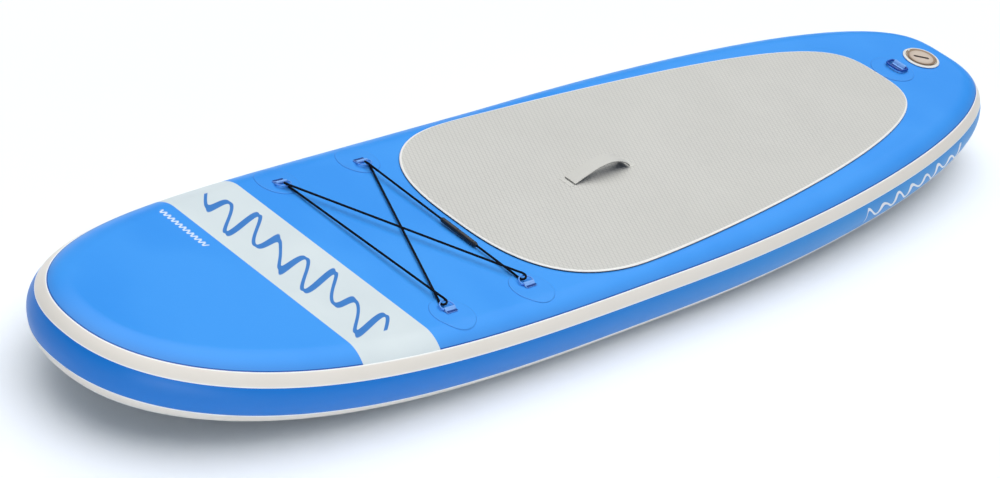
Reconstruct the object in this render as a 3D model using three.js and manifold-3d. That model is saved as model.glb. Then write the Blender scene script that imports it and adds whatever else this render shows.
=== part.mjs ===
// Inflatable stand up paddleboard, 10 ft x 30 in x 6 in.
// Millimetres, +Z up. The nose points to -Y, the port side is +X, and the belly rests on z = 0.
import * as THREE from 'three';
import Module from 'manifold-3d';
import { LoftGeometry } from 'three/addons/geometries/LoftGeometry.js';
import { mergeVertices } from 'three/addons/utils/BufferGeometryUtils.js';

// ---------------------------------------------------------------- driving dimensions
const LENGTH = 3048;
const WIDTH = 760;
const THICKNESS = 160;
const GAP = 0.3;                  // clearance between neighbouring pieces

// plan shape: one superellipse from the widest point to the nose, another to the tail
const WIDEST = 0.54;              // widest point, as a share of the length from the nose
const NOSE_POWERS = [4.26, 2.2];
const TAIL_POWERS = [1.9, 2.97];
const STATIONS = 34;              // stations from nose to tail on each side

// rocker: the belly is flat between the two starts and rises towards each end
const NOSE_RISE = 76;
const NOSE_RISE_START = -200;
const NOSE_RISE_POWER = 2.5;
const TAIL_RISE = 57;
const TAIL_RISE_START = 0;
const TAIL_RISE_POWER = 1.5;

// rail section: a superellipse. Angles run from the horizontal, up to the deck and down to the belly
const RAIL_POWER = 1.85;
const SHOULDER = 48;              // deck skin ends, upper tape begins
const WALL_TOP = 26;              // upper tape ends, side wall begins
const WALL_BOTTOM = -25;          // side wall ends, lower tape begins
const BILGE = -48;                // lower tape ends, hull skin begins
const WALL_STEP = (WALL_TOP - WALL_BOTTOM) / 3;
const SEAM = 0.22;                // half of the open seam between two skins, in degrees
const SKIN = 1.4;
const TAPE_PROUD = 0.8;

// foam traction pad
const PAD = { front: -410, widest: -90, back: 1187, halfWidth: 312, thickness: 5, bevel: 4, lift: 0.5 };
const PAD_FRONT_POWERS = [2.5, 2.8];
const PAD_BACK_POWERS = [1.4, 3.4];
const PAD_STATIONS = 28;

// cargo bungee and its four anchors
const ANCHOR_X = 258;             // a ring's bar; its patch is centred further out
const ANCHOR_PATCH_X = 270;
const ANCHOR_FRONT_Y = -690;
const ANCHOR_REAR_Y = -440;
const PATCH = { radius: 52, tailRadius: 58, thickness: 1.2, lift: 0.6 };
const RING = { bar: 38, reach: 22, rod: 1.6, tilt: 10.5, bow: 1 };
const LOOP = { width: 32, tail: 12, wall: 1.3 };
const SLEEVE_PLAY = 0.4;          // a ring's bar turns in its webbing sleeve
const CORD_RADIUS = 2.5;
const CORD_DROP = 4.45;           // cord centre above or below the ring's rod where they cross
const CORD_SPREAD = 5;            // half of the distance between the two strands at a ring
const CORD_TURN = 11;             // how far the cord's turn reaches behind the ring's bow
const CORD_INSIDE = { reach: 7, rise: 1.2 };  // the cord where it comes up through the ring
const CORD_STRAIGHT = 0.06;       // share of a half span that bends towards the ring
const SPLICE = { along: 0.61, half: 55, wall: 3 };

// leash ring at the tail: it lies forward, over its own webbing
const TAIL_ANCHOR_Y = 1281;
const TAIL_PATCH_Y = 1250;
const TAIL_RING = { bar: 50, reach: 34, rod: 3, tilt: 3, bow: 0.45 };
const TAIL_LOOP = { width: 36, tail: 18, wall: 1.6 };

// carry handle on the centreline
const HANDLE = { front: -19, back: 180, width: 34, thickness: 3, rise: 31, legs: 0.26, foot: 0.02 };
const HANDLE_ARCH = { lean: 1.25, fullness: 0.8 };
const HANDLE_TAB = { length: 16, width: 38 };

// inflation valve near the tail
const VALVE_Y = 1376;
const VALVE = { flange: 49, ring: 39.4, cap: 39, bore: 23.4, wall: 26, depth: 16, well: 38, wellDepth: 40 };
const CAP_SLOT = { length: 42, width: 7, corner: 3.4, turn: 43 };
const TETHER = { width: 9, hinge: 44.5, hingeHeight: 3.5, barrel: 1.2 };

// fin box under the tail, with its lock key
const FIN_Y = 1120;
const FIN_BOX = { length: 236, width: 30, height: 17, slot: 9, slotLength: 206, slotDepth: 13 };
const FIN_BASE = { length: 300, width: 96, thickness: 1.5, corner: 30 };
const KEY = { length: 44, thickness: 4, height: 6, pull: 15, fromEnd: 16 };

// ---------------------------------------------------------------- materials
const material = (color, roughness, metalness = 0) =>
  new THREE.MeshStandardMaterial({ color, roughness, metalness });
const BLUE_PVC = material(0x56a6f7, 0.45);
const DEEP_BLUE_PVC = material(0x3778c8, 0.5);
const WHITE_PVC = material(0xe8e4d8, 0.5);
const CORE_FABRIC = material(0xf2f2ee, 0.9);
const PAD_FOAM = material(0xd4d3cd, 0.85);
const BLUE_WEBBING = material(0x4d9af0, 0.7);
const BLUE_PLASTIC = material(0x3f8fe8, 0.4);
const BLACK_CORD = material(0x17181a, 0.8);
const BEIGE_WEBBING = material(0xcfcdc4, 0.85);
const WHITE_PLASTIC = material(0xe9e8e0, 0.4);
const BEIGE_PLASTIC = material(0xbdb7ab, 0.5);
const GREY_RUBBER = material(0x6f7274, 0.8);
const STEEL = material(0xb9bcc0, 0.3, 1);
const BLACK_PLASTIC = material(0x1c1d1f, 0.5);

// ---------------------------------------------------------------- solids
const wasm = await Module();
wasm.setup();
const radians = THREE.MathUtils.degToRad;

// Merge shared vertices and drop the faces that a pinched section leaves behind.
function closed(geometry) {
  const bare = new THREE.BufferGeometry().copy(geometry);
  bare.deleteAttribute('normal');
  bare.deleteAttribute('uv');
  const merged = mergeVertices(bare, 1e-4);
  const index = merged.index.array;
  const kept = [];
  for (let i = 0; i < index.length; i += 3) {
    const [a, b, c] = index.slice(i, i + 3);
    if (a !== b && b !== c && c !== a) kept.push(a, b, c);
  }
  merged.setIndex(kept);
  return merged;
}

function manifold(geometry) {
  const merged = closed(geometry);
  return new wasm.Manifold(new wasm.Mesh({
    numProp: 3,
    vertProperties: new Float32Array(merged.attributes.position.array),
    triVerts: new Uint32Array(merged.index.array),
  }));
}

function fromManifold(solid) {
  const mesh = solid.getMesh();
  const geometry = new THREE.BufferGeometry();
  geometry.setAttribute('position', new THREE.BufferAttribute(mesh.vertProperties, 3));
  geometry.setIndex(new THREE.BufferAttribute(mesh.triVerts, 1));
  return geometry;
}

function cut(geometry, ...tools) {
  return fromManifold(tools.reduce((solid, tool) => solid.subtract(manifold(tool)), manifold(geometry)));
}

function join(...geometries) {
  return fromManifold(geometries.map(manifold).reduce((a, b) => a.add(b)));
}

function box(sx, sy, sz, x = 0, y = 0, z = 0) {
  return new THREE.BoxGeometry(sx, sy, sz).translate(x, y, z);
}

// A solid of revolution about Z from [radius, z] points that close on themselves or on the axis.
function turned(points, segments = 24) {
  const profile = points.map(([r, z]) => new THREE.Vector2(r, z));
  return new THREE.LatheGeometry(profile, segments).rotateX(Math.PI / 2);
}

// A turned ring of rectangular section.
function ringOf(inner, outer, bottom, top, segments = 24) {
  const corners = [[inner, bottom], [outer, bottom], [outer, top], [inner, top], [inner, bottom]];
  return turned(corners, segments);
}

function rod(radius, bottom, top, segments = 20) {
  return new THREE.CylinderGeometry(radius, radius, top - bottom, segments)
    .rotateX(Math.PI / 2).translate(0, 0, (top + bottom) / 2);
}

function roundedPlate(sx, sy, sz, corner) {
  const hx = sx / 2 - corner;
  const hy = sy / 2 - corner;
  const shape = new THREE.Shape();
  shape.absarc(hx, hy, corner, 0, Math.PI / 2);
  shape.absarc(-hx, hy, corner, Math.PI / 2, Math.PI);
  shape.absarc(-hx, -hy, corner, Math.PI, 1.5 * Math.PI);
  shape.absarc(hx, -hy, corner, 1.5 * Math.PI, 2 * Math.PI);
  return new THREE.ExtrudeGeometry(shape, { depth: sz, bevelEnabled: false, curveSegments: 6 });
}

// ---------------------------------------------------------------- the board's form
const HALF = THICKNESS / 2;

function halfWidth(y) {
  const share = y / LENGTH + 0.5;
  const toNose = share < WIDEST;
  const [run, turn] = toNose ? NOSE_POWERS : TAIL_POWERS;
  const away = toNose ? (WIDEST - share) / WIDEST : (share - WIDEST) / (1 - WIDEST);
  return (WIDTH / 2) * Math.max(1 - away ** run, 0) ** (1 / turn);
}

function rocker(y) {
  const nose = Math.max((NOSE_RISE_START - y) / (NOSE_RISE_START + LENGTH / 2), 0);
  const tail = Math.max((y - TAIL_RISE_START) / (LENGTH / 2 - TAIL_RISE_START), 0);
  return NOSE_RISE * nose ** NOSE_RISE_POWER + TAIL_RISE * tail ** TAIL_RISE_POWER;
}

function slope(y) {
  return (rocker(y + 1) - rocker(y - 1)) / 2;
}

// The port outline, from the nose (u = 0) to the tail (u = 1), with its outward normal.
function outline(u) {
  const step = 1e-4;
  const at = (v) => {
    const y = -(LENGTH / 2) * Math.cos(Math.PI * v);
    return new THREE.Vector2(v <= 0 || v >= 1 ? 0 : halfWidth(y), y);
  };
  const point = at(u);
  if (u <= 0 || u >= 1) return { point, normal: new THREE.Vector2(0, u <= 0 ? -1 : 1) };
  const along = at(u + step).sub(at(u - step));
  return { point, normal: new THREE.Vector2(along.y, -along.x).normalize() };
}

// A point of the rail section: side is 1 for port, -1 for starboard, offset is outwards.
function railPoint(u, side, degrees, offset) {
  const { point, normal } = outline(u);
  const angle = radians(degrees);
  const across = Math.abs(Math.cos(angle)) ** (2 / RAIL_POWER);
  const up = Math.sign(degrees) * Math.abs(Math.sin(angle)) ** (2 / RAIL_POWER);
  const inset = HALF - (HALF + offset) * (Math.abs(degrees) === 90 ? 0 : across);
  const x = point.x - normal.x * inset;
  const y = point.y - normal.y * inset;
  return new THREE.Vector3(side * x, y, HALF + (HALF + offset) * up + rocker(y));
}

// Height of the deck over (x, y), following the rounded shoulder near the edge.
function deckHeight(x, y) {
  const u = Math.acos(-y / (LENGTH / 2)) / Math.PI;
  const inset = (halfWidth(y) - Math.abs(x)) * outline(u).normal.x;
  const across = 1 - THREE.MathUtils.clamp(inset / HALF, 0, 1);
  return rocker(y) + HALF + HALF * (1 - across ** RAIL_POWER) ** (1 / RAIL_POWER);
}

// A group whose origin lies on the deck at (x, y), tilted with the rocker.
function onDeck(x, y) {
  const group = new THREE.Group();
  group.position.set(x, y, THICKNESS + rocker(y));
  group.rotation.x = Math.atan(slope(y));
  return group;
}

// A group whose origin lies on the belly at (0, y), tilted with the rocker.
function onHull(y) {
  const group = new THREE.Group();
  group.position.set(0, y, rocker(y));
  group.rotation.x = Math.atan(slope(y));
  return group;
}

const stationList = Array.from({ length: STATIONS + 1 }, (_, k) => k / STATIONS);

// A sheet or slab that crosses the board: each section runs up the port side and down the starboard.
function crossing(outerAngles, outerOffset, innerOffset) {
  const sections = stationList.map((u) => {
    const port = outerAngles.map((a) => railPoint(u, 1, a, outerOffset));
    const starboard = outerAngles.map((a) => railPoint(u, -1, a, outerOffset)).reverse();
    if (innerOffset === null) return [...port, ...starboard];
    const back = outerAngles.map((a) => railPoint(u, -1, a, innerOffset));
    const home = outerAngles.map((a) => railPoint(u, 1, a, innerOffset)).reverse();
    return [...port, ...starboard, ...back, ...home];
  });
  return closed(new LoftGeometry(sections.map((s) => s.reverse())));
}

// A band that runs round the whole rail between two angles.
function band(from, to, outerOffset, innerOffset, steps) {
  const angles = Array.from({ length: steps + 1 }, (_, k) => from + ((to - from) * k) / steps);
  const section = (u, side) => [
    ...angles.map((a) => railPoint(u, side, a, outerOffset)),
    ...angles.map((a) => railPoint(u, side, a, innerOffset)).reverse(),
  ];
  const port = stationList.map((u) => section(u, 1));
  const starboard = stationList.map((u) => section(u, -1)).reverse();
  return closed(new LoftGeometry([...port, ...starboard.slice(1)].map((s) => s.reverse())));
}

// Lay a flat piece on the deck: every point is lifted by the deck's height below it.
function draped(geometry) {
  const position = geometry.attributes.position;
  for (let i = 0; i < position.count; i += 1) {
    position.setZ(i, position.getZ(i) + deckHeight(position.getX(i), position.getY(i)));
  }
  return closed(geometry);
}

// ---------------------------------------------------------------- hull, skins and rails
const board = new THREE.Group();
const add = (parent, name, geometry, look) => {
  const mesh = new THREE.Mesh(geometry, look);
  mesh.name = name;
  parent.add(mesh);
  return mesh;
};

const valveHole = (radius, bottom) => {
  const site = onDeck(0, VALVE_Y);
  site.updateMatrixWorld();
  return rod(radius, bottom, 20, 24).applyMatrix4(site.matrixWorld);
};

function hullPieces() {
  const inner = -(SKIN + GAP);
  const wall = [WALL_BOTTOM, WALL_BOTTOM + WALL_STEP, WALL_TOP - WALL_STEP, WALL_TOP];
  const bilge = [-90, -76, -62, BILGE, (BILGE + WALL_BOTTOM) / 2];
  const shoulder = [(WALL_TOP + SHOULDER) / 2, SHOULDER, 62, 76, 90];
  const core = crossing([...bilge, ...wall, ...shoulder], inner, null);
  add(board, 'drop_stitch_core', cut(core, valveHole(VALVE.well, -VALVE.wellDepth)), CORE_FABRIC);

  const deck = crossing([SHOULDER + SEAM, 62, 76, 90], 0, -SKIN);
  add(board, 'deck_skin', cut(deck, valveHole(VALVE.wall + GAP, -20)), BLUE_PVC);
  add(board, 'hull_skin', crossing([-90, -76, -62, BILGE - SEAM].reverse(), -SKIN, 0), WHITE_PVC);

  add(board, 'side_wall', band(WALL_BOTTOM + SEAM, WALL_TOP - SEAM, 0, -SKIN, 3), DEEP_BLUE_PVC);
  const tape = (name, from, to) =>
    add(board, name, band(from + SEAM, to - SEAM, TAPE_PROUD, -SKIN, 2), WHITE_PVC);
  tape('upper_rail_tape', WALL_TOP, SHOULDER);
  tape('lower_rail_tape', BILGE, WALL_BOTTOM);
}

// ---------------------------------------------------------------- traction pad
function padHalfWidth(y) {
  const ahead = y < PAD.widest;
  const [run, turn] = ahead ? PAD_FRONT_POWERS : PAD_BACK_POWERS;
  const end = ahead ? PAD.front : PAD.back;
  const away = THREE.MathUtils.clamp((y - PAD.widest) / (end - PAD.widest), 0, 1);
  return PAD.halfWidth * (1 - away ** run) ** (1 / turn);
}

function tractionPad() {
  const across = [-1, -0.975, -0.95, -0.7, 0, 0.7, 0.95, 0.975, 1];
  const middle = (PAD.front + PAD.back) / 2;
  const reach = (PAD.back - PAD.front) / 2;
  const sections = Array.from({ length: PAD_STATIONS + 1 }, (_, k) => {
    const y = middle - reach * Math.cos((Math.PI * k) / PAD_STATIONS);
    const half = k % PAD_STATIONS === 0 ? 0 : padHalfWidth(y);
    const inner = Math.max(half - PAD.bevel, 0);
    const bottom = across.map((s) =>
      new THREE.Vector3(s * half, y, deckHeight(s * half, y) + PAD.lift));
    const top = across.map((s) =>
      new THREE.Vector3(s * inner, y, deckHeight(s * inner, y) + PAD.lift + PAD.thickness));
    return [...bottom.reverse(), ...top];
  });
  const pad = closed(new LoftGeometry(sections));
  const slots = handleTabCentres().map((y) =>
    box(HANDLE_TAB.width + 2 * GAP, HANDLE_TAB.length + 2 * GAP, 30, 0, y, THICKNESS + rocker(y)));
  add(board, 'deck_pad', cut(pad, ...slots), PAD_FOAM);
}

// ---------------------------------------------------------------- ring anchors
function patch(name, x, y, radius) {
  const steps = 4;
  const reach = Array.from({ length: steps + 1 }, (_, k) => (radius * k) / steps);
  const under = reach.map((r) => [r, PATCH.lift]);
  const over = reach.map((r) => [r, PATCH.lift + PATCH.thickness]).reverse();
  const disc = turned([...under, ...over], 20).translate(x, y, 0);
  add(board, name, draped(disc), BLUE_PVC);
}

// Webbing folded round the ring's bar: a flat tail towards -X and a sleeve about the Y axis.
function webbingLoop(loop, inner) {
  const outer = inner + loop.wall;
  const shape = new THREE.Shape();
  shape.moveTo(-loop.tail, -outer);
  shape.lineTo(0, -outer);
  shape.absarc(0, 0, outer, -Math.PI / 2, Math.PI * 0.83, false);
  shape.lineTo(-outer - 2, -outer + loop.wall);
  shape.lineTo(-loop.tail, -outer + loop.wall);
  const hole = new THREE.Path();
  hole.absarc(0, 0, inner, 0, 2 * Math.PI, true);
  shape.holes.push(hole);
  const strip = new THREE.ExtrudeGeometry(shape, {
    depth: loop.width, bevelEnabled: false, curveSegments: 5,
  });
  return strip.translate(0, 0, -loop.width / 2).rotateX(Math.PI / 2);
}

// A ring of round rod: its straight bar lies on the Y axis and its bow reaches towards +X.
// The bow is a half ellipse at bow = 1, and nears a rectangle as bow falls.
function dRing(ring) {
  const half = ring.bar / 2;
  const straight = 6;
  const sides = 6;
  const bow = 12;
  const path = [new THREE.Vector3(0, -half, 0)];
  for (let k = 0; k <= bow; k += 1) {
    const angle = -Math.PI / 2 + (Math.PI * k) / bow;
    const out = Math.max(Math.cos(angle), 0) ** ring.bow;
    const aside = Math.sign(Math.sin(angle)) * Math.abs(Math.sin(angle)) ** ring.bow;
    path.push(new THREE.Vector3(straight + (ring.reach - straight) * out, half * aside, 0));
  }
  path.push(new THREE.Vector3(0, half, 0));
  const count = path.length;
  const sections = path.map((centre, k) => {
    const along = path[(k + 1) % count].clone().sub(path[(k + count - 1) % count]).normalize();
    const outwards = new THREE.Vector3(along.y, -along.x, 0);
    const circle = [];
    for (let j = 0; j < sides; j += 1) {
      const turn = (2 * Math.PI * j) / sides;
      circle.push(centre.clone()
        .addScaledVector(outwards, ring.rod * Math.cos(turn))
        .sub(new THREE.Vector3(0, 0, ring.rod * Math.sin(turn))));
    }
    return circle;
  });
  return closed(new LoftGeometry([...sections, sections[0]]));
}

// Height of a ring's bar over the deck: its sleeve rests on the patch.
function barHeight(ring, loop) {
  return PATCH.lift + PATCH.thickness + GAP + ring.rod + SLEEVE_PLAY + loop.wall;
}

const bungeeAnchors = [
  { name: 'front_starboard', side: -1, y: ANCHOR_FRONT_Y },
  { name: 'front_port', side: 1, y: ANCHOR_FRONT_Y },
  { name: 'rear_starboard', side: -1, y: ANCHOR_REAR_Y },
  { name: 'rear_port', side: 1, y: ANCHOR_REAR_Y },
];

// The ring and its webbing have their own headings: the webbing's tail points away from its heading.
function anchor(name, x, y, ring, loop, ringHeading, loopHeading) {
  const site = onDeck(x, y);
  board.add(site);
  const aimed = (heading) => {
    const group = new THREE.Group();
    group.rotation.z = heading;
    group.position.z = barHeight(ring, loop);
    site.add(group);
    return group;
  };
  const sleeve = webbingLoop(loop, ring.rod + SLEEVE_PLAY);
  add(aimed(loopHeading), `webbing_loop_${name}`, sleeve, BLUE_WEBBING);
  add(aimed(ringHeading), `d_ring_${name}`, dRing(ring).rotateY(-radians(ring.tilt)), BLUE_PLASTIC);
}

function ringAnchors() {
  for (const { name, side, y } of bungeeAnchors) {
    const inboard = side > 0 ? Math.PI : 0;
    patch(`ring_patch_${name}`, side * ANCHOR_PATCH_X, y, PATCH.radius);
    anchor(name, side * ANCHOR_X, y, RING, LOOP, inboard, inboard);
  }
  patch('ring_patch_tail', 0, TAIL_PATCH_Y, PATCH.tailRadius);
  anchor('tail', 0, TAIL_ANCHOR_Y, TAIL_RING, TAIL_LOOP, -Math.PI / 2, Math.PI / 2);
}

// ---------------------------------------------------------------- bungee
// The cord is one loop: across the front, back along one diagonal, across the rear and back along
// the other. At each ring one strand passes under the rod and the other over it, and the two cross.
function bungee() {
  const rodRise = RING.reach * Math.sin(radians(RING.tilt));
  const rodReach = RING.reach * Math.cos(radians(RING.tilt));
  const bow = { x: ANCHOR_X - rodReach, z: barHeight(RING, LOOP) + rodRise };
  const strand = (side, y, level, offset) => ({
    side, y: y + offset * CORD_SPREAD, level: bow.z + level * CORD_DROP,
  });
  // the ends of the four spans, in the order that the cord takes them
  const spans = [
    [strand(-1, ANCHOR_FRONT_Y, -1, 1), strand(1, ANCHOR_FRONT_Y, 1, 1)],
    [strand(1, ANCHOR_FRONT_Y, -1, -1), strand(-1, ANCHOR_REAR_Y, -1, 1)],
    [strand(-1, ANCHOR_REAR_Y, 1, -1), strand(1, ANCHOR_REAR_Y, -1, -1)],
    [strand(1, ANCHOR_REAR_Y, 1, 1), strand(-1, ANCHOR_FRONT_Y, 1, -1)],
  ];
  const order = ['front_starboard', 'front_port', 'rear_starboard', 'rear_port'];
  const place = (end, reach) =>
    new THREE.Vector3(end.side * (bow.x + reach), end.y, THICKNESS + rocker(end.y) + end.level);

  order.forEach((name, k) => {
    const arriving = spans[(k + 3) % 4];
    const leaving = spans[k];
    const inEnd = arriving[1];
    const outEnd = leaving[0];
    const halfway = (span) => place(span[0], 0).lerp(place(span[1], 0), 0.5);
    const shorten = (point, towards) => point.add(towards.clone().sub(point).setLength(GAP / 2));
    const start = shorten(halfway(arriving), place(inEnd, 0));
    const finish = shorten(halfway(leaving), place(outEnd, 0));
    const middleY = (inEnd.y + outEnd.y) / 2;
    const turn = new THREE.Vector3(
      inEnd.side * (bow.x + CORD_TURN), middleY, THICKNESS + rocker(middleY) + bow.z);
    const inner = (end) => {
      const p = place(end, CORD_INSIDE.reach);
      p.z += Math.sign(bow.z - end.level) * CORD_INSIDE.rise;
      return p;
    };
    const near = (end, far) => place(end, 0).lerp(far, CORD_STRAIGHT);
    const route = new THREE.CatmullRomCurve3([
      start, place(inEnd, 0).lerp(start, 0.5), near(inEnd, start), place(inEnd, 0), inner(inEnd),
      turn,
      inner(outEnd), place(outEnd, 0), near(outEnd, finish), place(outEnd, 0).lerp(finish, 0.5), finish,
    ], false, 'centripetal');
    add(board, `bungee_${name}`, cordSolid(route, 30), BLACK_CORD);
  });

  // the sleeve over the cord's joined ends, on the rear span beside the centreline
  const [from, to] = spans[2].map((end) => place(end, 0));
  const along = to.clone().sub(from).normalize();
  const bore = CORD_RADIUS + GAP;
  const sleeve = ringOf(bore, bore + SPLICE.wall, -SPLICE.half, SPLICE.half, 16);
  const splice = add(board, 'bungee_splice', sleeve, BLACK_PLASTIC);
  splice.quaternion.setFromUnitVectors(new THREE.Vector3(0, 0, 1), along);
  splice.position.copy(from.clone().lerp(to, SPLICE.along));
}

// A round cord along a curve, with more steps where the curve bends.
function cordSolid(route, steps) {
  const sides = 6;
  const circle = new THREE.Shape();
  circle.absarc(0, 0, CORD_RADIUS, 0, 2 * Math.PI);
  const flat = new THREE.Shape(circle.getSpacedPoints(sides).slice(0, sides));
  route.arcLengthDivisions = 400;
  const even = new THREE.CatmullRomCurve3(route.getPoints(steps), false, 'centripetal');
  even.getPointAt = even.getPoint;
  even.getTangentAt = even.getTangent;
  return closed(new THREE.ExtrudeGeometry(flat, { steps, bevelEnabled: false, extrudePath: even }));
}

// ---------------------------------------------------------------- carry handle
function handleTabCentres() {
  const reach = HANDLE_TAB.length / 2;
  return [HANDLE.front - reach - GAP, HANDLE.back + reach + GAP];
}

// The strap's centre line: a full arch that is highest behind its middle.
function handlePoint(t) {
  const y = HANDLE.front + (HANDLE.back - HANDLE.front) * t;
  const lean = t ** HANDLE_ARCH.lean;
  const arch = Math.sin(Math.PI * lean) ** HANDLE_ARCH.fullness;
  const foot = THICKNESS + rocker(y) + PAD.lift + PAD.thickness + GAP + HANDLE.thickness / 2;
  return new THREE.Vector3(0, y, foot + HANDLE.rise * arch);
}

function strapPiece(name, from, to, steps) {
  const sections = Array.from({ length: steps + 1 }, (_, k) => {
    const t = from + ((to - from) * k) / steps;
    const centre = handlePoint(t);
    const ahead = handlePoint(Math.min(t + 0.01, 1)).sub(handlePoint(Math.max(t - 0.01, 0)));
    const up = new THREE.Vector3(0, -ahead.z, ahead.y).setLength(HANDLE.thickness / 2);
    const right = new THREE.Vector3(HANDLE.width / 2, 0, 0);
    const corner = (sx, sz) => centre.clone().addScaledVector(right, sx).addScaledVector(up, sz);
    return [corner(1, 1), corner(1, -1), corner(-1, -1), corner(-1, 1)];
  });
  const strap = new LoftGeometry(sections, { capStart: true, capEnd: true });
  add(board, name, closed(strap), BEIGE_WEBBING);
}

function carryHandle() {
  const seam = 0.0016;
  strapPiece('handle_front_leg', HANDLE.foot, HANDLE.legs - seam, 5);
  strapPiece('handle_grip', HANDLE.legs, 1 - HANDLE.legs, 10);
  strapPiece('handle_rear_leg', 1 - HANDLE.legs + seam, 1 - HANDLE.foot, 5);
  ['handle_tab_front', 'handle_tab_rear'].forEach((name, k) => {
    const y = handleTabCentres()[k];
    const tab = box(HANDLE_TAB.width, HANDLE_TAB.length, PAD.thickness - 1, 0, 0, PAD.thickness / 2 + 0.6);
    const site = onDeck(0, y);
    board.add(site);
    add(site, name, tab, BEIGE_WEBBING);
  });
}

// ---------------------------------------------------------------- inflation valve
function inflationValve() {
  const site = onDeck(0, VALVE_Y);
  board.add(site);
  const { flange, ring, cap, bore, wall, depth } = VALVE;

  // gasket and clamp nut hold the deck skin between them
  add(site, 'valve_gasket', ringOf(wall + GAP, flange - 6, 0.4, 1.2), GREY_RUBBER);
  add(site, 'valve_clamp_nut', ringOf(wall + GAP, 36, -6.5, -SKIN - GAP), BLACK_PLASTIC);

  // flange and threaded body in one, with a raised outer ring, a bore and a spider for the stem
  const shell = turned([
    [bore, -depth], [wall, -depth], [wall, 1.5], [flange, 1.5], [flange, 2.6], [flange - 2.5, 4.6],
    [ring + 2, 4.9], [ring, 4.2], [ring, 2.4], [bore, 2.4], [bore, -depth],
  ]);
  const hub = ringOf(3.4, 6.5, -depth, -depth + 3, 24);
  const seat = ringOf(15, bore + 0.5, -depth, -depth + 3);
  const spokes = [0, 60, 120].map((angle) =>
    cut(box(2 * bore - 2, 2.4, 3, 0, 0, -depth + 1.5), rod(4.5, -depth - 1, -depth + 4))
      .rotateZ(radians(angle)));
  const notch = box(flange, TETHER.width + 2 * GAP, 6, -ring - flange / 2 + 1, 0, 5);
  add(site, 'valve_body', join(cut(shell, notch), hub, seat, ...spokes), WHITE_PLASTIC);

  // sprung plunger: button on top, stem through the hub, sealing disc below
  const button = turned([[0, -4], [8, -4], [8, -2.4], [6.5, -1.4], [0, -1.4]], 24);
  const stem = rod(3, -23, -3.5, 16);
  const foot = rod(17, -23, -20.5, 28);
  add(site, 'valve_plunger', join(button, stem, foot), BLACK_PLASTIC);
  add(site, 'valve_seal', ringOf(3 + GAP, 18.5, -20.2, -depth - GAP, 28), GREY_RUBBER);
  add(site, 'valve_spring', springCoil(5.2, 0.6, -depth + 3.9, -4.9, 3.5), STEEL);

  // cap: a shallow dish with a grip slot; its plug carries an O-ring and holds the tether's collar
  const dish = turned([
    [0, -0.4], [20.8, -0.4], [20.8, 0.2], [19.6, 0.2], [19.6, 1.6], [22.2, 1.6], [22.2, 2.3],
    [21, 2.3], [21, 4.2], [cap - 1, 4.2], [cap - 1, 5], [cap - 2.4, 6.4], [cap - 5, 6.2],
    [cap - 8, 5.4], [0, 5.4],
  ], 28);
  const grip = roundedPlate(CAP_SLOT.length, CAP_SLOT.width, 4, CAP_SLOT.corner)
    .translate(0, 0, 2.6).rotateZ(radians(CAP_SLOT.turn));
  add(site, 'valve_cap', cut(dish, grip), BEIGE_PLASTIC);
  add(site, 'cap_o_ring', torus(20.6, 0.6, 0.9), GREY_RUBBER);

  // tether: a collar round the cap's neck and a strap that leaves through the flange's notch
  const collar = ringOf(21 + GAP, cap - 3, 2.4 + GAP, 3.9);
  const reach = TETHER.hinge - 34;
  const strap = box(reach, TETHER.width, 1.2, -34 - reach / 2, 0, 3.3);
  const barrel = rod(TETHER.barrel, -TETHER.width / 2, TETHER.width / 2, 12)
    .rotateX(Math.PI / 2).translate(-TETHER.hinge, 0, TETHER.hingeHeight);
  add(site, 'cap_tether', join(collar, strap, barrel), WHITE_PLASTIC);
}

function torus(radius, tube, z) {
  return closed(new THREE.TorusGeometry(radius, tube, 6, 24).translate(0, 0, z));
}

function springCoil(radius, wire, bottom, top, turns) {
  class Helix extends THREE.Curve {
    getPoint(t, target = new THREE.Vector3()) {
      const angle = 2 * Math.PI * turns * t;
      return target.set(radius * Math.cos(angle), radius * Math.sin(angle), bottom + (top - bottom) * t);
    }
  }
  const circle = new THREE.Shape();
  for (let k = 0; k < 6; k += 1) {
    const angle = (Math.PI / 3) * k;
    circle[k ? 'lineTo' : 'moveTo'](wire * Math.cos(angle), wire * Math.sin(angle));
  }
  return closed(new THREE.ExtrudeGeometry(circle, {
    steps: 10 * turns, bevelEnabled: false, extrudePath: new Helix(),
  }));
}

// ---------------------------------------------------------------- fin box
function finBox() {
  const site = onHull(FIN_Y);
  board.add(site);
  const base = roundedPlate(FIN_BASE.width, FIN_BASE.length, FIN_BASE.thickness, FIN_BASE.corner);
  const baseTop = -0.9;
  const boxTop = baseTop - FIN_BASE.thickness - GAP;
  const boxBottom = boxTop - FIN_BOX.height;
  add(site, 'fin_base_patch', base.translate(0, 0, baseTop - FIN_BASE.thickness), WHITE_PVC);

  const block = roundedPlate(FIN_BOX.width, FIN_BOX.length, FIN_BOX.height, 12).translate(0, 0, boxBottom);
  const slot = roundedPlate(FIN_BOX.slot, FIN_BOX.slotLength, FIN_BOX.slotDepth + 1, FIN_BOX.slot / 2 - 0.1)
    .translate(0, 0, boxBottom - 1);
  const keyY = FIN_BOX.slotLength / 2 - KEY.fromEnd;
  const keyZ = boxBottom + 6;
  const channel = box(FIN_BOX.width + 4, KEY.height + 2 * GAP, KEY.thickness + 2 * GAP, 0, keyY, keyZ);
  add(site, 'fin_box', cut(block, slot, channel), BLACK_PLASTIC);

  const shaft = box(KEY.length, KEY.height, KEY.thickness, 2, keyY, keyZ);
  const pull = roundedPlate(5, KEY.pull, 8, 2).translate(KEY.length / 2 + 2, keyY, keyZ - 4);
  add(site, 'fin_lock_key', join(shaft, pull), BLUE_PLASTIC);
}

// ---------------------------------------------------------------- assembly
hullPieces();
tractionPad();
ringAnchors();
bungee();
carryHandle();
inflationValve();
finBox();

board.updateMatrixWorld(true);
export default board;
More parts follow.
